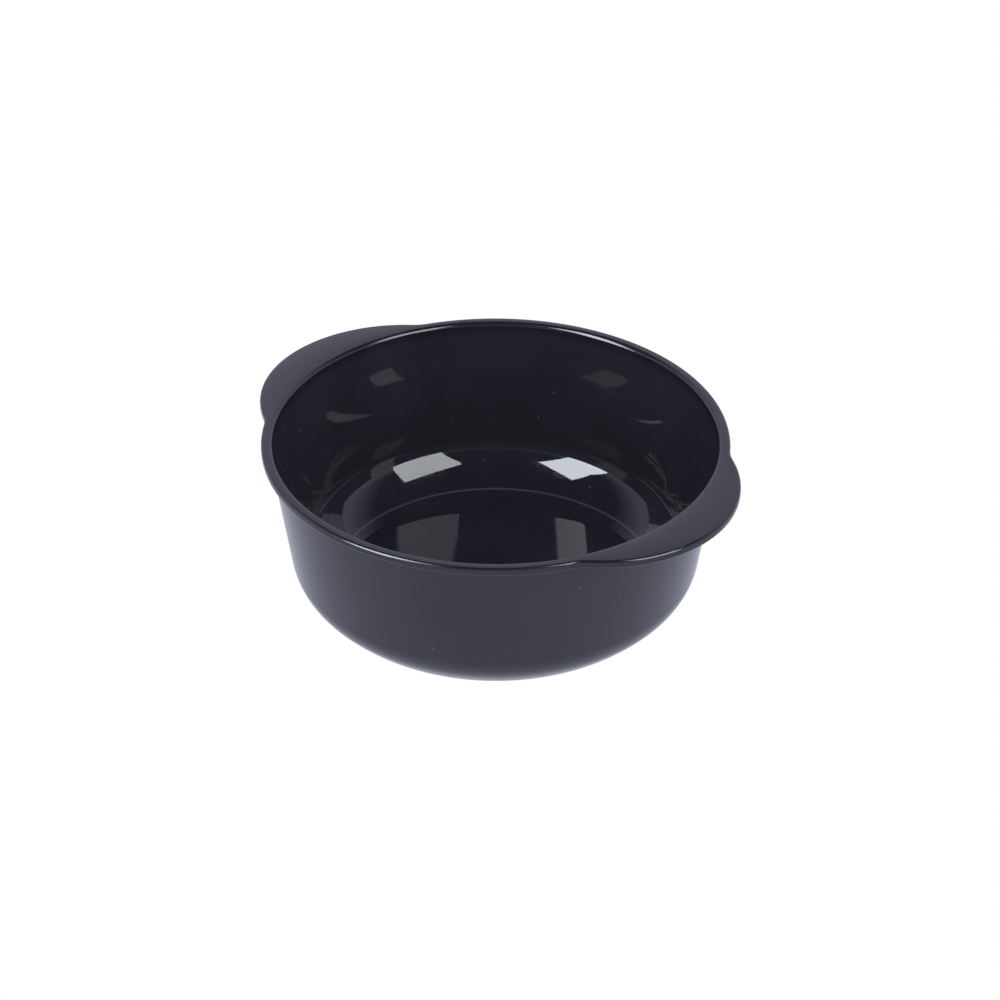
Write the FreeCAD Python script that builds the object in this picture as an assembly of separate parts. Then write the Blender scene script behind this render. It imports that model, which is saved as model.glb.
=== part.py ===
import FreeCAD, Part
import math
import os

# Hair color bowl: one gloss plastic moulding with a rounded lip and two finger
# ears, standing on a rubber grip ring. Millimetres and degrees. The origin lies
# on the resting plane under the bowl's axis, +Z is up and the ears point along X.

# Lip and ears
HEIGHT = 60.0           # resting plane to the top of the lip
LIP_RADIUS = 70.0       # outer radius of the lip between the ears
LIP_DEPTH = 2.8         # thickness of the lip and of the ears
LIP_EDGE = 1.2          # rounding of their outer edges
LIP_MOUTH = 1.8         # rounding where the lip turns down into the bowl
EAR_REACH = 80.0        # bowl axis to the tip of an ear
EAR_RADIUS = 42.5       # round end of an ear, seen from above
EAR_BLEND = 14.0        # hollow corner between an ear and the lip

# Wall and floor; radii and places of the wall are those of its outside
WALL = 1.2              # wall thickness
WALL_TOP_RADIUS = 67.55 # radius of the wall just under the lip
WALL_TOP_DROP = 2.0     # top of the lip down to that place
DRAFT = 8.5             # lean of the straight wall from vertical
STRAIGHT_END = 39.0     # top of the lip down to the end of the straight wall
SHOULDER_RADIUS = 14.5  # tight turn below the straight wall
SHOULDER_TURN = 31.5    # angle of that turn
BELLY_RADIUS = 34.0     # flatter turn below it, down to the foot
CAVITY_DEPTH = 53.0     # top of the lip down to the floor
CORNER_EDGE = 1.0       # rounding between the wall and the floor, inside
FLOOR = 1.8             # floor thickness

# Foot and grip ring
FOOT_RADIUS = 41.5      # outside of the foot
FOOT_BORE = 31.0        # recess inside the foot
FOOT_EDGE = 0.6         # rounding of the foot's outer edge
RING_INNER = 33.5       # inside of the grip ring
RING_OUTER = 38.5       # outside of the grip ring
RING_SEAT = 3.6         # depth of its groove in the foot
RING_PROUD = 0.5        # how far the ring stands below the foot
RING_EDGE = 0.4         # rounding of the ring's lower edges
RING_CLEARANCE = 0.05   # gap between the ring and each side of its groove
TREAD_LINES = 3         # shallow round grooves in the ring's tread
TREAD_RADIUS = 0.3      # radius of those grooves

INWARD = 180.0          # heading of a line that runs towards the bowl's axis
DOWN = 270.0            # heading of a line that runs straight down
MIDDLE = FreeCAD.Vector(0, 0, 0)
UP = FreeCAD.Vector(0, 0, 1)


class Pen:
    """Draws an outline in the X-Z plane, as straight runs and tangent arcs."""

    def __init__(self, radius, z, heading):
        self.point = FreeCAD.Vector(radius, 0, z)
        self.heading = heading
        self.edges = []

    def left(self, heading):
        """Unit vector to the left of a heading."""
        angle = math.radians(heading)
        return FreeCAD.Vector(-math.sin(angle), 0, math.cos(angle))

    def line_to(self, radius, z):
        end = FreeCAD.Vector(radius, 0, z)
        run = end - self.point
        self.edges.append(Part.makeLine(self.point, end))
        self.point = end
        self.heading = math.degrees(math.atan2(run.z, run.x)) % 360

    def run_down_to(self, z):
        """Go straight on, down to height z."""
        across = (z - self.point.z) / math.tan(math.radians(self.heading))
        self.line_to(self.point.x + across, z)

    def arc(self, radius, turn):
        """Turn by an angle on an arc: to the left if it is positive."""
        reach = math.copysign(radius, turn)
        centre = self.point + self.left(self.heading) * reach
        middle = centre - self.left(self.heading + turn / 2) * reach
        end = centre - self.left(self.heading + turn) * reach
        self.edges.append(Part.Arc(self.point, middle, end).toShape())
        self.point = end
        self.heading += turn

    def arc_right_to_height(self, radius, z):
        """Turn to the right on an arc, until it comes down to height z."""
        centre = self.point - self.left(self.heading) * radius
        end_heading = 360 - math.degrees(math.acos((z - centre.z) / radius))
        self.arc(radius, end_heading - self.heading)

    def arc_right_to_radius(self, radius, place):
        """Turn to the right on an arc, until it comes in to a place on X."""
        centre = self.point - self.left(self.heading) * radius
        end_heading = 180 + math.degrees(math.asin((place - centre.x) / radius))
        self.arc(radius, end_heading - self.heading)

    def solid(self):
        """Close the outline and turn it about the bowl's axis."""
        start = self.edges[0].Vertexes[0].Point
        self.line_to(start.x, start.z)
        face = Part.Face(Part.Wire(self.edges))
        return face.revolve(MIDDLE, UP, 360)


def ring_solid(inner, outer, bottom, top):
    """Upright tube between two radii and two heights."""
    base = FreeCAD.Vector(0, 0, bottom)
    tube = Part.makeCylinder(outer, top - bottom, base)
    return tube.cut(Part.makeCylinder(inner, top - bottom, base))


def round_edges(solid, radius, chosen):
    """Round the edges that a test picks out."""
    return solid.makeFillet(radius, [edge for edge in solid.Edges if chosen(edge)])


def is_circle(edge, radius, z):
    """Whether an edge is a circle about the bowl's axis, of a radius, at a height."""
    curve = edge.Curve
    if curve.TypeId != "Part::GeomCircle":
        return False
    return abs(curve.Radius - radius) < 0.01 and abs(edge.CenterOfMass.z - z) < 0.01


def lip_outline():
    """Plan of the lip: a circle that runs out into two round-ended ears."""
    ear_centre = FreeCAD.Vector(EAR_REACH - EAR_RADIUS, 0, 0)
    from_axis = LIP_RADIUS + EAR_BLEND
    from_ear = EAR_RADIUS + EAR_BLEND
    blend_x = (ear_centre.x**2 + from_axis**2 - from_ear**2) / (2 * ear_centre.x)
    blend = FreeCAD.Vector(blend_x, math.sqrt(from_axis**2 - blend_x**2), 0)
    on_lip = blend * (LIP_RADIUS / from_axis)
    on_ear = ear_centre + (blend - ear_centre) * (EAR_RADIUS / from_ear)
    to_bowl = ((on_lip + on_ear) * 0.5 - blend).normalize()
    between = blend + to_bowl * EAR_BLEND

    def corner(point, x_sign, y_sign):
        return FreeCAD.Vector(point.x * x_sign, point.y * y_sign, HEIGHT - LIP_DEPTH)

    arcs = []
    for x_sign in (1, -1):
        tip = FreeCAD.Vector(EAR_REACH * x_sign, 0, HEIGHT - LIP_DEPTH)
        arcs.append(Part.Arc(corner(on_ear, x_sign, -1), tip, corner(on_ear, x_sign, 1)))
        for y_sign in (1, -1):
            ends = (corner(on_lip, x_sign, y_sign), corner(on_ear, x_sign, y_sign))
            arcs.append(Part.Arc(ends[0], corner(between, x_sign, y_sign), ends[1]))
    for y_sign in (1, -1):
        side = FreeCAD.Vector(0, LIP_RADIUS * y_sign, HEIGHT - LIP_DEPTH)
        arcs.append(Part.Arc(corner(on_lip, 1, y_sign), side, corner(on_lip, -1, y_sign)))
    edges = [arc.toShape() for arc in arcs]
    return Part.Wire(Part.__sortEdges__(edges))


def lip_plate():
    """Flat plate in the shape of the lip and ears, with rounded edges."""
    plate = Part.Face(lip_outline()).extrude(UP * LIP_DEPTH)
    return round_edges(plate, LIP_EDGE, lambda edge: edge.BoundBox.ZLength < 0.01)


def outside():
    """Everything inside the bowl's outer surface, from under the lip to the foot."""
    pen = Pen(WALL_TOP_RADIUS, HEIGHT - WALL_TOP_DROP, DOWN - DRAFT)
    pen.run_down_to(HEIGHT - STRAIGHT_END)
    pen.arc(SHOULDER_RADIUS, -SHOULDER_TURN)
    pen.arc_right_to_radius(BELLY_RADIUS, FOOT_RADIUS)
    pen.line_to(FOOT_RADIUS, RING_PROUD + FOOT_EDGE)
    pen.arc(FOOT_EDGE, INWARD - DOWN)
    pen.line_to(0, RING_PROUD)
    pen.line_to(0, HEIGHT - WALL_TOP_DROP)
    return pen.solid()


def cavity():
    """The hollow of the bowl, flared at the top where the lip rounds into it."""
    floor_z = HEIGHT - CAVITY_DEPTH
    lean = math.radians(DRAFT)
    mouth_drop = LIP_MOUTH * (1 - math.sin(lean))
    wall_inside = WALL_TOP_RADIUS - WALL / math.cos(lean)
    mouth_radius = wall_inside + (WALL_TOP_DROP - mouth_drop) * math.tan(lean)
    crown_radius = mouth_radius + LIP_MOUTH * math.cos(lean)
    pen = Pen(crown_radius, HEIGHT, INWARD)
    pen.arc(LIP_MOUTH, DOWN - DRAFT - INWARD)
    pen.run_down_to(HEIGHT - STRAIGHT_END)
    pen.arc(SHOULDER_RADIUS - WALL, -SHOULDER_TURN)
    pen.arc_right_to_height(BELLY_RADIUS - WALL, floor_z)
    corner_radius = pen.point.x
    pen.line_to(0, floor_z)
    pen.line_to(0, HEIGHT)
    hollow = pen.solid()
    return round_edges(hollow, CORNER_EDGE, lambda edge: is_circle(edge, corner_radius, floor_z))


def bowl():
    """The moulding: lip, ears, wall, floor, and a foot with a groove for the ring."""
    underside = HEIGHT - CAVITY_DEPTH - FLOOR
    body = lip_plate().fuse(outside()).cut(cavity())
    body = body.cut(Part.makeCylinder(FOOT_BORE, underside))
    groove_top = RING_PROUD + RING_SEAT
    groove = ring_solid(RING_INNER - RING_CLEARANCE, RING_OUTER + RING_CLEARANCE, 0, groove_top)
    return body.cut(groove)


def grip_ring():
    """Rubber ring that fills the foot's groove and stands a little below it."""
    ring = ring_solid(RING_INNER, RING_OUTER, 0, RING_PROUD + RING_SEAT)
    ring = round_edges(ring, RING_EDGE, lambda edge: edge.BoundBox.ZMax < 0.01)
    spacing = (RING_OUTER - RING_INNER) / (TREAD_LINES + 1)
    for line in range(1, TREAD_LINES + 1):
        ring = ring.cut(Part.makeTorus(RING_INNER + line * spacing, TREAD_RADIUS))
    return ring


os.makedirs("parts", exist_ok=True)
for name, piece in (("bowl", bowl()), ("grip_ring", grip_ring())):
    solid = piece.removeSplitter()
    if solid.ShapeType == "Compound" and len(solid.Solids) == 1:
        solid = solid.Solids[0]
    box = solid.BoundBox
    print(name, solid.ShapeType, solid.isValid(), len(solid.Solids), round(solid.Volume),
          [round(v, 2) for v in (box.XMin, box.XMax, box.YMin, box.YMax, box.ZMin, box.ZMax)])
    solid.exportStep(f"parts/{name}.step")
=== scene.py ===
import math

import bpy
import numpy as np
from mathutils import Matrix, Vector


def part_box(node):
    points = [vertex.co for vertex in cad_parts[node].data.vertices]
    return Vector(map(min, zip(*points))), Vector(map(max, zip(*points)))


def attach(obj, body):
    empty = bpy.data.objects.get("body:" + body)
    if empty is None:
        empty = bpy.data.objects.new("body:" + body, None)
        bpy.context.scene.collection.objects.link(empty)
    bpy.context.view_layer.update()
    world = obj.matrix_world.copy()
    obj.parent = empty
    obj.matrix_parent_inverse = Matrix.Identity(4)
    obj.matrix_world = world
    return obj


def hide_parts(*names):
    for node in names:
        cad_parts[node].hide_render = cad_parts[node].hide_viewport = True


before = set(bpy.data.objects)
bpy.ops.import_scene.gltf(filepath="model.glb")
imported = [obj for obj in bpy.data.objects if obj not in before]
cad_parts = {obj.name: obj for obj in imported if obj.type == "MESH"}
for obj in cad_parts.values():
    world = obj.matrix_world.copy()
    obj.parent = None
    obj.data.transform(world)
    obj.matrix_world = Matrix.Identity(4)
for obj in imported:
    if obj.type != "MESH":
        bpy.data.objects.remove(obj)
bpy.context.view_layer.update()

# Everything is in metres, in the frame of the CAD model: Z up, the ears along X, and the
# origin on the floor under the bowl's axis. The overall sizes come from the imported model.
MM = 0.001
BOWL_LOW, BOWL_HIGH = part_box("bowl")
RING_LOW, RING_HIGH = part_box("grip_ring")
EAR_REACH = BOWL_HIGH.x
LIP_RADIUS = BOWL_HIGH.y
FOOT_BOTTOM = BOWL_LOW.z
RING_TOP = RING_HIGH.z
RING_OUTER = RING_HIGH.x

# Lip and ears
EAR_CROWN = 0.25 * MM         # room above the lip for the ears' crest
LIP_TOP = BOWL_HIGH.z - EAR_CROWN
EAR_RADIUS = 42.5 * MM        # round end of an ear, seen from above
EAR_BLEND = 14.0 * MM         # hollow corner between an ear and the lip
EAR_SLOPE = 8.0               # degrees, how an ear falls away on both sides of its crest
LIP_SLOPE = 5.0               # degrees, the same fall on the lip between the ears
EAR_CREST = 0.31              # place of the crest, as a share of the top's width
LIP_DEPTH = 2.7 * MM
NOSE_RADIUS = 0.85 * MM       # rounding of the outer edge
MOUTH_RADIUS = 1.4 * MM       # rounding from the lip down into the bowl
THROAT_RADIUS = 0.7 * MM      # hollow rounding between the lip's underside and the wall

# Wall and floor
WALL = 1.2 * MM
WALL_TOP_RADIUS = 67.55 * MM  # outside of the wall just under the lip
WALL_TOP_DROP = 2.0 * MM
DRAFT = 8.5                   # degrees, lean of the outer wall from vertical
INSIDE_DRAFT = 8.7            # lean of the inner wall at its top
INSIDE_BOW = 1.0              # how much more it leans at its bottom
INSIDE_SHOULDER_END = 42.0    # its lean at the end of the tight turn
STRAIGHT_END = 39.0 * MM
SHOULDER_RADIUS = 14.5 * MM
SHOULDER_TURN = 31.5          # degrees
BELLY_RADIUS = 34.0 * MM
CAVITY_DEPTH = 53.0 * MM
CORNER_RADIUS = 1.0 * MM
FLOOR = 1.8 * MM

# Foot
FOOT_RADIUS = 41.5 * MM
FOOT_BORE = 31.0 * MM
EDGE_RADIUS = 0.3 * MM
RING_INNER = 33.5 * MM
RING_CLEARANCE = 0.05 * MM

# Mesh density
COLUMNS = 432                 # sections round the bowl
FINE = 0.2 * MM               # spacing of points on small roundings
MEDIUM = 0.8 * MM             # and on large ones
COARSE = 3.0 * MM             # spacing of points on straight stretches
CROWN_POINTS = 12             # across the top of the lip or ear
NOSE_POINTS = 16              # over each of its two roundings
UNDER_POINTS = 12             # under it, in to the wall

# Headings of a section, in degrees
UP = 90.0
INWARD = 180.0
DOWN = 270.0

# Colours, as linear red, green, blue and alpha
WALL_BLACK = (0.0318, 0.0295, 0.0355, 1)
# Painted shade: the inside fades from the wall's colour above to this darker colour at the floor
# of the bowl.
SHADED_FLOOR_BLACK = (0.0225, 0.0208, 0.0262, 1)
OUTSIDE_BLACK = (0.0172, 0.0162, 0.0225, 1)
RUBBER_BLACK = (0.016, 0.016, 0.017, 1)
RUBBER_SCUFFED = (0.034, 0.033, 0.033, 1)
DUST_GREY = (0.22, 0.22, 0.24, 1)
# Light grey of the painted highlight line round the floor's corner inside; the scratches are
# tinted towards it too.
CORNER_HIGHLIGHT_AND_SCRATCH_GREY = (0.075, 0.073, 0.082, 1)
WHITE = (1, 1, 1, 1)
TABLE_TINT = (0.89, 0.915, 1.12, 1)
LAMP_TINT = (0.94, 1.0, 1.05)

# Surfaces and their wear
PLASTIC_IOR = 1.5
INSIDE_ROUGHNESS = 0.03
OUTSIDE_ROUGHNESS = 0.13
RUBBER_GRAIN = 0.05 * MM
DUST_ROUGHNESS = 0.4          # what a dust speck adds to the roughness
CLOUD_GAIN = 1.25             # brightness of the paler clouds in the plastic
CORNER_LINE = 49.6 * MM       # radius of the painted highlight line along the floor's edge
WAVE_HEIGHT = 0.010 * MM      # flow waviness of the moulding
GRAIN_HEIGHT = 0.001 * MM     # texture of the satin outside
SCRATCH_DEPTH = 0.002 * MM
SCRATCH_COLOR_SHARE = 0.25    # how far a scratch's colour goes towards the grey of the painted corner highlight

# Camera
CAMERA_AZIMUTH = 38.6         # degrees, round from the direction of -Y towards +X
CAMERA_ELEVATION = 33.46
CAMERA_DISTANCE = 1.0
CAMERA_ROLL = 0.26
CAMERA_LENS = 119.1           # mm, on the sensor below
CAMERA_SENSOR = 36
AIM_RIGHT = 1.35 * MM         # where the camera points, from the centre of the lip's top
AIM_DOWN = 22.93 * MM

# Studio: sines of the elevations where the white backdrop ends and the dark ceiling starts
BACKDROP_FRONT = math.sin(math.radians(17.3))
BACKDROP_SIDE = math.sin(math.radians(36.0))
BACKDROP_BACK = math.sin(math.radians(50.0))
BACKDROP_SOFTNESS = 0.1       # half the height of the fade between them
BACKDROP_WHITE = 0.8
BACKDROP_DARK = 0.02
FILL = 0.9                    # even light on everything that doesn't mirror the studio
TABLE_HALF = 3.0
TABLE_MIRRORED = 0.8          # brightness of the table where the bowl mirrors it


def left_of(heading):
    """Unit vector to the left of a heading, in radius and height."""
    angle = math.radians(heading)
    return np.array((-math.sin(angle), math.cos(angle)))


class Outline:
    """Points and surface normals of a section, drawn as straight runs and tangent arcs.

    side is +1 where the air is to the left of the line, and -1 where it is to the right.
    """

    def __init__(self, radius, z, heading, side):
        self.points = [np.array((radius, z))]
        self.heading = heading
        self.side = side
        self.normals = [left_of(heading) * side]

    def add(self, point):
        self.points.append(point)
        self.normals.append(left_of(self.heading) * self.side)

    def run(self, length, spacing=COARSE):
        start = self.points[-1]
        forward = -left_of(self.heading + 90)
        steps = max(1, math.ceil(length / spacing))
        for step in range(1, steps + 1):
            self.add(start + forward * length * step / steps)

    def run_down_to(self, z, spacing=COARSE):
        drop = z - self.points[-1][1]
        self.run(drop / math.sin(math.radians(self.heading)), spacing)

    def run_to_radius(self, radius, spacing=COARSE):
        self.run(abs(radius - self.points[-1][0]), spacing)

    def arc(self, radius, turn, spacing=FINE):
        """Turn by an angle in degrees: to the left if it is positive."""
        reach = math.copysign(radius, turn)
        centre = self.points[-1] + left_of(self.heading) * reach
        first = self.heading
        steps = max(2, math.ceil(radius * abs(math.radians(turn)) / spacing))
        for step in range(1, steps + 1):
            self.heading = first + turn * step / steps
            self.add(centre - left_of(self.heading) * reach)

    def arc_end_heading(self, radius, z):
        """Heading at which a right-hand arc from here has come down to height z."""
        centre = self.points[-1] - left_of(self.heading) * radius
        return 360 - math.degrees(math.acos((z - centre[1]) / radius))


def mouth_centre():
    """Centre of the rounding from the lip into the bowl, in radius and height."""
    lean = math.radians(INSIDE_DRAFT)
    drop = MOUTH_RADIUS * (1 - math.sin(lean))
    wall_inside = WALL_TOP_RADIUS - WALL / math.cos(lean)
    wall_start = wall_inside + (WALL_TOP_DROP - drop) * math.tan(lean)
    return np.array((wall_start + MOUTH_RADIUS * math.cos(lean), LIP_TOP - MOUTH_RADIUS))


def inside_section():
    """From the bottom of the mouth rounding down the inner wall to the floor's centre."""
    lean = math.radians(INSIDE_DRAFT)
    start = mouth_centre() + MOUTH_RADIUS * np.array((-math.cos(lean), math.sin(lean)))
    floor_z = LIP_TOP - CAVITY_DEPTH
    section = Outline(start[0], start[1], DOWN - INSIDE_DRAFT, side=-1)
    bow_radius = (start[1] - LIP_TOP + STRAIGHT_END) / math.radians(INSIDE_BOW)
    section.arc(bow_radius, -INSIDE_BOW, COARSE)
    inner_turn = INSIDE_SHOULDER_END - INSIDE_DRAFT - INSIDE_BOW
    section.arc(SHOULDER_RADIUS - WALL, -inner_turn, MEDIUM)
    # The corner's rounding starts where the belly is just high enough above the floor.
    # Each pass brings that height nearer, and 8 are plenty.
    belly = BELLY_RADIUS - WALL
    end = section.arc_end_heading(belly, floor_z)
    for _ in range(8):
        rise = CORNER_RADIUS * (1 - math.cos(math.radians(end - INWARD)))
        end = section.arc_end_heading(belly, floor_z + rise)
    section.arc(belly, end - section.heading, MEDIUM)
    section.arc(CORNER_RADIUS, INWARD - end, FINE / 2)
    section.run_to_radius(0)
    return section


def outside_section():
    """From the lip's underside down the outer wall, round the foot, to the base's centre."""
    lean = math.radians(DRAFT)
    under_z = LIP_TOP - LIP_DEPTH
    throat_z = under_z - THROAT_RADIUS
    wall_radius = WALL_TOP_RADIUS + (throat_z - LIP_TOP + WALL_TOP_DROP) * math.tan(lean)
    start = wall_radius + THROAT_RADIUS / math.cos(lean)
    section = Outline(start, under_z, INWARD, side=1)
    section.arc(THROAT_RADIUS, DOWN - DRAFT - INWARD, FINE)
    section.run_down_to(LIP_TOP - STRAIGHT_END)
    section.arc(SHOULDER_RADIUS, -SHOULDER_TURN, MEDIUM)
    centre = section.points[-1] - left_of(section.heading) * BELLY_RADIUS
    end = INWARD + math.degrees(math.asin((FOOT_RADIUS - centre[0]) / BELLY_RADIUS))
    section.arc(BELLY_RADIUS, end - section.heading, MEDIUM)
    section.arc(EDGE_RADIUS, DOWN - end, FINE)
    section.run_down_to(FOOT_BOTTOM + 2 * EDGE_RADIUS)
    section.arc(2 * EDGE_RADIUS, INWARD - DOWN, FINE)
    groove_out = RING_OUTER + RING_CLEARANCE
    groove_in = RING_INNER - RING_CLEARANCE
    base_z = LIP_TOP - CAVITY_DEPTH - FLOOR
    for outer, inner, top in ((groove_out, groove_in, RING_TOP), (FOOT_BORE, 0, base_z)):
        section.run_to_radius(outer + EDGE_RADIUS, MEDIUM)
        section.arc(EDGE_RADIUS, UP - INWARD, FINE)
        section.run(top - EDGE_RADIUS - section.points[-1][1])
        section.arc(EDGE_RADIUS, INWARD - UP, FINE)
        if inner == 0:
            section.run_to_radius(0)
            break
        section.run_to_radius(inner + EDGE_RADIUS, MEDIUM)
        section.arc(EDGE_RADIUS, DOWN - INWARD, FINE)
        section.run_down_to(FOOT_BOTTOM + EDGE_RADIUS)
        section.arc(EDGE_RADIUS, INWARD - DOWN, FINE)
    return section


def lip_plan(turns):
    """Plan points and outward normals of the lip and ears, one for each angle of an array."""
    direction = np.stack((np.cos(turns), np.sin(turns)), 1)
    quadrant = np.abs(direction)
    ear_centre = np.array((EAR_REACH - EAR_RADIUS, 0))
    from_axis = LIP_RADIUS + EAR_BLEND
    from_ear = EAR_RADIUS + EAR_BLEND
    blend_x = (ear_centre[0]**2 + from_axis**2 - from_ear**2) / (2 * ear_centre[0])
    blend = np.array((blend_x, math.sqrt(from_axis**2 - blend_x**2)))
    on_ear = ear_centre + (blend - ear_centre) * (EAR_RADIUS / from_ear)
    ear_angle = math.atan2(on_ear[1], on_ear[0])
    lip_angle = math.atan2(blend[1], blend[0])
    angle = np.arctan2(quadrant[:, 1], quadrant[:, 0])

    def reach(centre, radius, sign):
        along = quadrant @ centre
        inside = np.clip(radius**2 - centre @ centre + along**2, 0, None)
        return along + sign * np.sqrt(inside)

    is_ear = angle < ear_angle
    is_lip = angle > lip_angle
    radius = np.where(is_ear, reach(ear_centre, EAR_RADIUS, 1), reach(blend, EAR_BLEND, -1))
    radius = np.where(is_lip, LIP_RADIUS, radius)
    plan = quadrant * radius[:, None]
    normal = np.where(is_ear[:, None], plan - ear_centre, blend - plan)
    normal = np.where(is_lip[:, None], plan, normal)
    normal = normal / np.linalg.norm(normal, axis=1)[:, None]
    signs = np.where(direction < 0, -1, 1)
    return plan * signs, normal * signs


def lip_section(turns):
    """Points and normals over the lip, from the inner wall's top to under the nose.

    A gently crowned top lies between the mouth rounding and the nose. It is narrow
    between the ears and wide on them.
    """
    plan, normal = lip_plan(turns)
    outward = np.stack((np.cos(turns), np.sin(turns)), 1)
    ear_share = (np.linalg.norm(plan, axis=1) - LIP_RADIUS) / (EAR_REACH - LIP_RADIUS)
    slope = np.radians(LIP_SLOPE + (EAR_SLOPE - LIP_SLOPE) * np.clip(ear_share, 0, 1))
    points = []
    normals = []

    def add(xy, z, plan_normal, z_normal):
        points.append(np.column_stack((xy, z)))
        vector = np.column_stack((plan_normal, z_normal))
        normals.append(vector / np.linalg.norm(vector, axis=1)[:, None])

    centre = mouth_centre()
    for share in np.linspace(0, 1, NOSE_POINTS):
        angle = math.radians(180 - INSIDE_DRAFT) * (1 - share) + (math.pi / 2 + slope) * share
        radius = centre[0] + MOUTH_RADIUS * np.cos(angle)
        height = centre[1] + MOUTH_RADIUS * np.sin(angle)
        add(outward * radius[:, None], height, outward * np.cos(angle)[:, None], np.sin(angle))

    crown_start = points[-1]
    crown_end = plan - normal * (NOSE_RADIUS * (1 - np.sin(slope)))[:, None]
    run = crown_end - crown_start[:, :2]
    length = np.linalg.norm(run, axis=1)
    toward = run / length[:, None]
    steepness = np.tan(slope)
    crest_z = crown_start[:, 2] + length * steepness * EAR_CREST / 2
    for share in np.linspace(0, 1, CROWN_POINTS)[1:]:
        if share < EAR_CREST:
            behind = (EAR_CREST - share) / EAR_CREST
            height = crest_z - length * steepness * EAR_CREST * behind**2 / 2
            tilt = -steepness * behind
        else:
            past = (share - EAR_CREST) / (1 - EAR_CREST)
            height = crest_z - length * steepness * (1 - EAR_CREST) * past**2 / 2
            tilt = steepness * past
        add(crown_start[:, :2] + run * share, height, toward * tilt[:, None], np.ones(len(turns)))

    nose_z = points[-1][:, 2] - NOSE_RADIUS * np.cos(slope)
    nose_centre = plan - normal * NOSE_RADIUS
    face = LIP_DEPTH - 2 * NOSE_RADIUS
    level = np.zeros(len(turns))
    quarter = math.pi / 2
    shares = np.linspace(0, 1, NOSE_POINTS // 2)
    upper = (quarter - slope, level, 0, shares[1:])
    lower = (level, level - quarter, face, shares)
    for start, end, drop, part in (upper, lower):
        for share in part:
            angle = start * (1 - share) + end * share
            xy = nose_centre + normal * (NOSE_RADIUS * np.cos(angle))[:, None]
            z = nose_z - drop + NOSE_RADIUS * np.sin(angle)
            add(xy, z, normal * np.cos(angle)[:, None], np.sin(angle))

    return np.stack(points, 1), np.stack(normals, 1)


def under_ear(start, end):
    """Points and normals from under the nose in to the wall."""
    shares = np.linspace(0, 1, UNDER_POINTS)[1:-1]
    points = np.stack([start + (end - start) * share for share in shares], 1)
    normals = np.zeros(points.shape)
    normals[:, :, 2] = -1
    return points, normals


def turned(section, turns):
    """A section's points and normals, turned about the bowl's axis to each angle."""
    flat = np.array(section.points)
    flat_normals = np.array(section.normals)
    across = np.stack((np.cos(turns), np.sin(turns)), 1)

    def spin(pairs):
        xy = across[:, None, :] * pairs[None, :, :1]
        z = np.broadcast_to(pairs[None, :, 1:], (len(turns), len(pairs), 1))
        return np.concatenate((xy, z), 2)

    return spin(flat), spin(flat_normals)


def grid_mesh(name, points, normals, finish):
    """Closed mesh from sections: points[column, row], whose first and last rows are poles."""
    columns, rows = points.shape[:2]
    ring_rows = rows - 2
    vertices = [points[0, 0]] + list(points[:, 1:-1].reshape(-1, 3)) + [points[0, -1]]
    shading = [normals[0, 0]] + list(normals[:, 1:-1].reshape(-1, 3)) + [normals[0, -1]]
    satin = np.concatenate(([finish[0]], np.tile(finish[1:-1], columns), [finish[-1]]))
    last = len(vertices) - 1
    faces = []
    for column in range(columns):
        here = 1 + column * ring_rows
        there = 1 + (column + 1) % columns * ring_rows
        faces.append((0, here, there))
        faces.append((here + ring_rows - 1, last, there + ring_rows - 1))
        for row in range(ring_rows - 1):
            faces.append((here + row, here + row + 1, there + row + 1, there + row))
    mesh = bpy.data.meshes.new(name)
    mesh.from_pydata([tuple(v) for v in vertices], [], faces)
    mesh.polygons.foreach_set("use_smooth", [True] * len(mesh.polygons))
    mesh.attributes.new("satin", "FLOAT", "POINT").data.foreach_set("value", satin)
    mesh.normals_split_custom_set_from_vertices([tuple(n) for n in shading])
    mesh.validate(clean_customdata=False)
    piece = bpy.data.objects.new(name, mesh)
    bpy.context.scene.collection.objects.link(piece)
    return piece


def make_bowl():
    """The moulding. The satin attribute is 0 on the polished inside and 1 elsewhere."""
    turns = np.arange(COLUMNS) * 2 * math.pi / COLUMNS
    inside, inside_normals = turned(inside_section(), turns)
    lip, lip_normals = lip_section(turns)
    outside, outside_normals = turned(outside_section(), turns)
    under, under_normals = under_ear(lip[:, -1], outside[:, 0])
    points = (inside[:, :0:-1], lip, under, outside)
    normals = (inside_normals[:, :0:-1], lip_normals, under_normals, outside_normals)
    satin = np.ones(sum(part.shape[1] for part in points))
    satin[:inside.shape[1] - 1] = 0
    return grid_mesh(
        "bowl_shell", np.concatenate(points, 1), np.concatenate(normals, 1), satin)


# Materials

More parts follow.
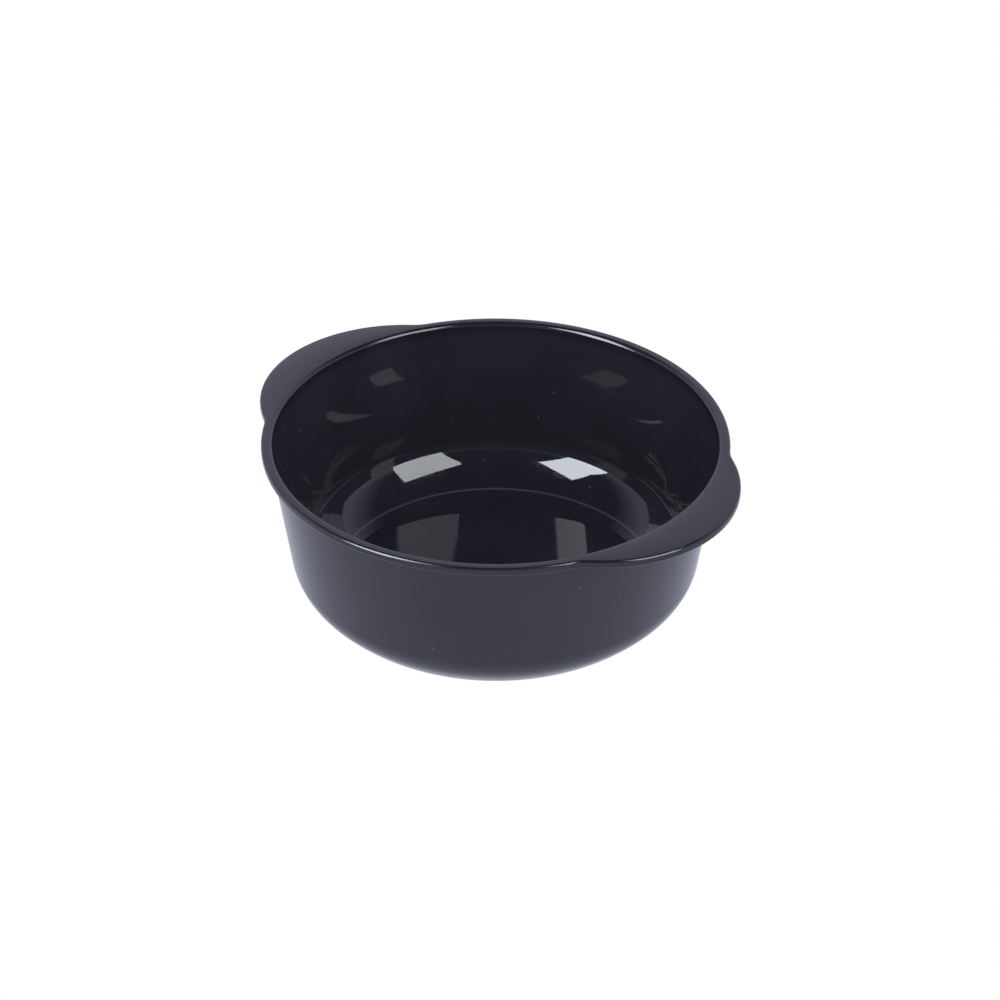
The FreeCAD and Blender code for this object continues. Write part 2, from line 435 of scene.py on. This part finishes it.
class Nodes:
    """Short way to build a node tree, of a material or of the world."""

    def __init__(self, tree):
        self.tree = tree

    def add(self, kind, settings=None, **inputs):
        node = self.tree.nodes.new(kind)
        for key, value in (settings or {}).items():
            setattr(node, key, value)
        for key, value in inputs.items():
            self.put(node, key.replace("_", " "), value)
        return node

    def put(self, node, socket, value):
        """Set an input to a value, or link it to another node's output."""
        target = node.inputs[socket]
        if isinstance(value, bpy.types.NodeSocket):
            self.tree.links.new(value, target)
        else:
            target.default_value = value

    def put_all(self, node, values):
        """Fill the first inputs in turn."""
        for socket, value in enumerate(values):
            self.put(node, socket, value)

    def math(self, operation, *values):
        node = self.add("ShaderNodeMath", {"operation": operation})
        self.put_all(node, values)
        return node.outputs[0]

    def vector_math(self, operation, *values):
        """A vector, or a number where the operation gives one."""
        node = self.add("ShaderNodeVectorMath", {"operation": operation})
        self.put_all(node, values)
        gives_number = operation in ("LENGTH", "DOT_PRODUCT")
        return node.outputs["Value" if gives_number else "Vector"]

    def mix_color(self, share, first, second):
        node = self.add("ShaderNodeMix", {"data_type": "RGBA"})
        for socket, item in ((0, share), (6, first), (7, second)):
            self.put(node, socket, item)
        return node.outputs[2]

    def mix_number(self, share, first, second):
        node = self.add("ShaderNodeMix")
        for socket, item in ((0, share), (2, first), (3, second)):
            self.put(node, socket, item)
        return node.outputs[0]

    def map_range(self, value, low, high, to_low, to_high, shape="SMOOTHSTEP"):
        node = self.add("ShaderNodeMapRange", {"interpolation_type": shape})
        self.put_all(node, (value, low, high, to_low, to_high))
        return node.outputs[0]

    def level_part(self, vector):
        """A vector without its height."""
        return self.vector_math("MULTIPLY", vector, (1, 1, 0))


def new_material(name):
    """A material, the nodes to build it with, and its shader."""
    material = bpy.data.materials.new(name)
    material.use_nodes = True
    nodes = Nodes(material.node_tree)
    return material, nodes, material.node_tree.nodes["Principled BSDF"]


def noise(nodes, place, scale, detail=2.0, stretch=(1, 1, 1)):
    """Noise from 0 to 1; scale is in features per metre, along X, Y and Z."""
    spread = nodes.add("ShaderNodeMapping")
    nodes.put(spread, "Vector", place)
    nodes.put(spread, "Scale", stretch)
    texture = nodes.add("ShaderNodeTexNoise", Vector=spread.outputs[0], Scale=scale, Detail=detail)
    return texture.outputs[0]


def specks(nodes, place, per_metre, radius, share):
    """Mask of round dust specks, in a share of the cells of a grid."""
    cells = nodes.add("ShaderNodeTexVoronoi", Vector=place, Scale=per_metre)
    dot = nodes.math("LESS_THAN", cells.outputs["Distance"], radius * per_metre)
    chosen = nodes.math("LESS_THAN", cells.outputs["Color"], share)
    return nodes.math("MULTIPLY", dot, chosen)


def scratches(nodes, place):
    """Mask of long, thin and nearly level scratches, in patches."""
    streaks = noise(nodes, place, scale=40, detail=3.0, stretch=(1, 1, 60))
    from_middle = nodes.math("ABSOLUTE", nodes.math("SUBTRACT", streaks, 0.5))
    line = nodes.map_range(from_middle, 0, 0.004, 1, 0)
    patch = nodes.map_range(noise(nodes, place, scale=55), 0.5, 0.65, 0, 1)
    return nodes.math("MULTIPLY", line, patch)


def bump(nodes, height, distance, normal=None):
    node = nodes.add("ShaderNodeBump", Height=height, Distance=distance)
    if normal:
        nodes.put(node, "Normal", normal)
    return node.outputs[0]


def moulded_color_and_shade(nodes, height, satin, cloud):
    """The plastic, clouded and darkest outside, with painted shade: the inside is painted darker
    down towards the floor.
    """
    floor_z = LIP_TOP - CAVITY_DEPTH
    # Painted shade: the inside darkens from the wall's lower end down to the floor.
    floor_shade_fade = nodes.map_range(height, floor_z, LIP_TOP - STRAIGHT_END, 0, 1)
    body = nodes.mix_color(floor_shade_fade, SHADED_FLOOR_BLACK, WALL_BLACK)
    body = nodes.mix_color(satin, body, OUTSIDE_BLACK)
    paler = nodes.add("ShaderNodeHueSaturation", Color=body, Value=CLOUD_GAIN).outputs[0]
    return nodes.mix_color(nodes.map_range(cloud, 0.35, 0.75, 0, 1), body, paler)


def corner_highlight_line(nodes, place, height, satin):
    """Mask of a painted highlight: a light line where the floor meets the wall, inside."""
    radius = nodes.vector_math("LENGTH", nodes.level_part(place))
    from_line = nodes.math("ABSOLUTE", nodes.math("SUBTRACT", radius, CORNER_LINE))
    line = nodes.map_range(from_line, 0.15 * MM, 0.45 * MM, 1, 0)
    low = nodes.math("LESS_THAN", height, LIP_TOP - CAVITY_DEPTH + 2 * MM)
    inside = nodes.math("SUBTRACT", 1.0, satin)
    return nodes.math("MULTIPLY", nodes.math("MULTIPLY", line, low), inside)


def bowl_plastic():
    """Black gloss plastic, polished inside, with dust, fine scratches and flow waviness, painted
    shade down towards the floor inside, and a painted highlight line round the floor's corner.
    """
    material, nodes, shader = new_material("bowl_plastic")
    place = nodes.add("ShaderNodeTexCoord").outputs["Object"]
    satin = nodes.add("ShaderNodeAttribute", {"attribute_name": "satin"}).outputs["Fac"]
    height = nodes.add("ShaderNodeSeparateXYZ", Vector=place).outputs["Z"]
    cloud = noise(nodes, place, scale=35, detail=4.0)
    scratched = scratches(nodes, place)
    coarse_dust = specks(nodes, place, per_metre=240, radius=0.17 * MM, share=0.45)
    fine_dust = specks(nodes, place, per_metre=500, radius=0.10 * MM, share=0.25)
    dust = nodes.math("ADD", coarse_dust, fine_dust)

    body = moulded_color_and_shade(nodes, height, satin, cloud)
    # Painted highlight: a light line round the floor's corner inside.
    body = nodes.mix_color(corner_highlight_line(nodes, place, height, satin), body, CORNER_HIGHLIGHT_AND_SCRATCH_GREY)
    scratch_share = nodes.math("MULTIPLY", scratched, SCRATCH_COLOR_SHARE)
    body = nodes.mix_color(scratch_share, body, CORNER_HIGHLIGHT_AND_SCRATCH_GREY)
    body = nodes.mix_color(nodes.math("MINIMUM", dust, 1.0), body, DUST_GREY)
    nodes.put(shader, "Base Color", body)

    roughness = nodes.map_range(satin, 0, 1, INSIDE_ROUGHNESS, OUTSIDE_ROUGHNESS)
    clouded = nodes.map_range(cloud, 0.3, 0.7, 0.8, 1.35)
    roughness = nodes.math("MULTIPLY", roughness, clouded)
    dusty = nodes.math("MULTIPLY", dust, DUST_ROUGHNESS)
    nodes.put(shader, "Roughness", nodes.math("ADD", roughness, dusty))
    nodes.put(shader, "IOR", PLASTIC_IOR)

    waves = bump(nodes, noise(nodes, place, scale=45), WAVE_HEIGHT)
    grain_height = nodes.math("MULTIPLY", satin, GRAIN_HEIGHT)
    texture = noise(nodes, place, scale=700, detail=3.0)
    grain = bump(nodes, texture, grain_height, waves)
    nodes.put(shader, "Normal", bump(nodes, scratched, SCRATCH_DEPTH, grain))
    return material


def grip_rubber():
    """Matt black rubber: grainy, scuffed a little paler, with lint on it."""
    material, nodes, shader = new_material("grip_rubber")
    place = nodes.add("ShaderNodeTexCoord").outputs["Object"]
    rubbed = noise(nodes, place, scale=120, detail=4.0)
    scuff = nodes.map_range(rubbed, 0.45, 0.7, 0, 1)
    lint = specks(nodes, place, per_metre=400, radius=0.12 * MM, share=0.3)
    body = nodes.mix_color(scuff, RUBBER_BLACK, RUBBER_SCUFFED)
    body = nodes.mix_color(lint, body, DUST_GREY)
    nodes.put(shader, "Base Color", body)
    nodes.put(shader, "Roughness", nodes.map_range(scuff, 0, 1, 0.62, 0.82))
    grain = noise(nodes, place, scale=1500, detail=4.0)
    nodes.put(shader, "Normal", bump(nodes, grain, RUBBER_GRAIN))
    return material


# Stage, lights and camera

STUDIO_TURN = Matrix.Rotation(math.radians(CAMERA_AZIMUTH), 4, "Z")


def studio_direction(azimuth, elevation):
    """Unit vector; azimuth 0 is the camera's side, and 90 is the camera's right."""
    turn, rise = math.radians(azimuth), math.radians(elevation)
    level = math.cos(rise)
    local = Vector((math.sin(turn) * level, -math.cos(turn) * level, math.sin(rise)))
    return (STUDIO_TURN @ local.to_4d()).to_3d()


def look(position, target, roll):
    """Matrix of a camera or light that looks at a point."""
    back = (position - target).normalized()
    right = Vector((0, 0, 1)).cross(back).normalized()
    upward = back.cross(right)
    turned_right = right * math.cos(roll) + upward * math.sin(roll)
    turned_up = upward * math.cos(roll) - right * math.sin(roll)
    matrix = Matrix((turned_right, turned_up, back)).transposed().to_4x4()
    matrix.translation = position
    return matrix


def make_camera():
    data = bpy.data.cameras.new("camera")
    camera = bpy.data.objects.new("camera", data)
    bpy.context.scene.collection.objects.link(camera)
    right = (STUDIO_TURN @ Vector((1, 0, 0, 0))).to_3d()
    target = right * AIM_RIGHT + Vector((0, 0, LIP_TOP - AIM_DOWN))
    position = target + studio_direction(0, CAMERA_ELEVATION) * CAMERA_DISTANCE
    camera.matrix_world = look(position, target, math.radians(CAMERA_ROLL))
    data.sensor_width = CAMERA_SENSOR
    data.lens = CAMERA_LENS
    data.clip_start = 0.01
    bpy.context.scene.camera = camera


def softbox(name, azimuth, elevation, distance, width, height, roll, radiance):
    """Rectangular lamp aimed at the bowl; width and height are angles seen from it.

    It shows in reflections only.
    """
    data = bpy.data.lights.new(name, "AREA")
    data.shape = "RECTANGLE"
    data.size = 2 * distance * math.tan(math.radians(width / 2))
    data.size_y = 2 * distance * math.tan(math.radians(height / 2))
    data.energy = radiance * math.pi * data.size * data.size_y
    data.color = LAMP_TINT
    lamp = bpy.data.objects.new(name, data)
    bpy.context.scene.collection.objects.link(lamp)
    target = Vector((0, 0, LIP_TOP))
    position = target + studio_direction(azimuth, elevation) * distance
    lamp.matrix_world = look(position, target, math.radians(roll))
    lamp.visible_camera = False
    lamp.visible_diffuse = False


def make_floor():
    """Plain pale table top: white to the camera, and a little darker where it is mirrored."""
    reach = TABLE_HALF
    mesh = bpy.data.meshes.new("floor")
    corners = [(-reach, -reach, 0), (reach, -reach, 0), (reach, reach, 0), (-reach, reach, 0)]
    mesh.from_pydata(corners, [], [(0, 1, 2, 3)])
    floor = bpy.data.objects.new("floor", mesh)
    bpy.context.scene.collection.objects.link(floor)
    material = bpy.data.materials.new("floor_white")
    material.use_nodes = True
    material.node_tree.nodes.clear()
    nodes = Nodes(material.node_tree)
    seen = nodes.add("ShaderNodeEmission", Color=WHITE, Strength=1.0)
    mirrored = nodes.add("ShaderNodeEmission", Color=TABLE_TINT, Strength=TABLE_MIRRORED)
    path = nodes.add("ShaderNodeLightPath")
    mix = nodes.add("ShaderNodeMixShader")
    nodes.put_all(mix, (path.outputs["Is Camera Ray"], mirrored.outputs[0], seen.outputs[0]))
    nodes.add("ShaderNodeOutputMaterial", Surface=mix.outputs[0])
    mesh.materials.append(material)


def backdrop_glow(nodes):
    """White backdrop up to an elevation that is lowest on the camera's side, dark above."""
    place = nodes.add("ShaderNodeTexCoord").outputs["Generated"]
    heading = nodes.vector_math("NORMALIZE", nodes.level_part(place))
    away = nodes.vector_math("DOT_PRODUCT", heading, studio_direction(180, 0))
    front = nodes.map_range(away, -1, 0, BACKDROP_FRONT, BACKDROP_SIDE, "LINEAR")
    back = nodes.map_range(away, 0, 1, 0, BACKDROP_BACK - BACKDROP_SIDE, "LINEAR")
    height = nodes.add("ShaderNodeSeparateXYZ", Vector=place).outputs["Z"]
    above = nodes.math("SUBTRACT", height, nodes.math("ADD", front, back))
    fade = (-BACKDROP_SOFTNESS, BACKDROP_SOFTNESS)
    return nodes.map_range(above, *fade, BACKDROP_WHITE, BACKDROP_DARK, "LINEAR")


def make_world():
    """The backdrop for mirror rays, and an even pale fill for all the others."""
    world = bpy.data.worlds.new("studio")
    bpy.context.scene.world = world
    world.use_nodes = True
    world.node_tree.nodes.clear()
    nodes = Nodes(world.node_tree)
    glow = backdrop_glow(nodes)
    path = nodes.add("ShaderNodeLightPath")
    strength = nodes.mix_number(path.outputs["Is Glossy Ray"], FILL, glow)
    color = nodes.mix_color(path.outputs["Is Camera Ray"], TABLE_TINT, WHITE)
    background = nodes.add("ShaderNodeBackground", Color=color, Strength=strength)
    nodes.add("ShaderNodeOutputWorld", Surface=background.outputs[0])


bowl = make_bowl()
bowl.data.materials.append(bowl_plastic())
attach(bowl, "root")
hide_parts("bowl")

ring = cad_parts["grip_ring"]
ring.data.materials.clear()
ring.data.materials.append(grip_rubber())

make_floor()
make_world()
softbox("softbox_left", azimuth=-55.3, elevation=23.7, distance=2.2,
        width=25.0, height=60.1, roll=-10.6, radiance=14.6)
softbox("softbox_right", azimuth=49.5, elevation=35.5, distance=0.75,
        width=31.0, height=39.4, roll=-6.0, radiance=7.8)
make_camera()
bpy.context.scene.view_settings.view_transform = "Standard"
